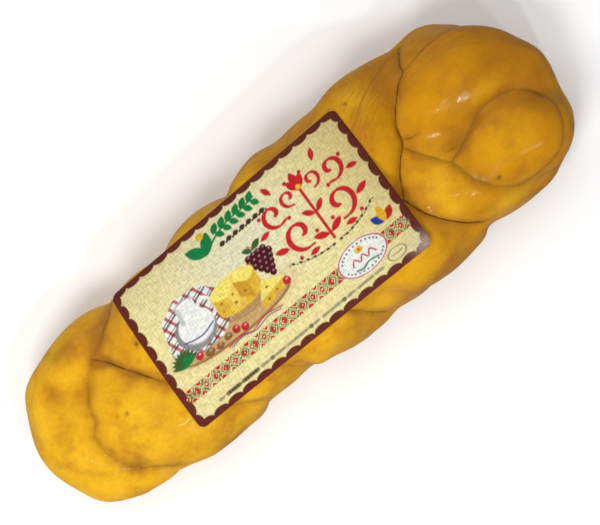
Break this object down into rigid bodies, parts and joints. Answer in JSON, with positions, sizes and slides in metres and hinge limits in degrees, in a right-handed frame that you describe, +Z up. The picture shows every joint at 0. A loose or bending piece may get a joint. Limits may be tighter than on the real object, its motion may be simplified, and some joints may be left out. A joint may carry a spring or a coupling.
{
  "type": "braided smoked cheese",
  "caption": "Smoked cheese plaited from soft strands, with a looped plain end, a knotted end, a flat base and a curved paper label on its back.",
  "frame": {"origin": "On the surface the cheese lies on, under the centre of its bounding box.", "axes": "+X runs along the plait from the looped plain end to the knot, +Z is up through the label, and +Y completes the right-handed frame, towards the edge that the label wraps down further."},
  "size_m": [0.2232, 0.0762, 0.0491],
  "materials": {
    "smoked_cheese": "gloss",
    "label_paper": "satin"
  },
  "bodies": {
    "root": {"cheese": "smoked_cheese", "label": "label_paper"}
  },
  "joints": []
}
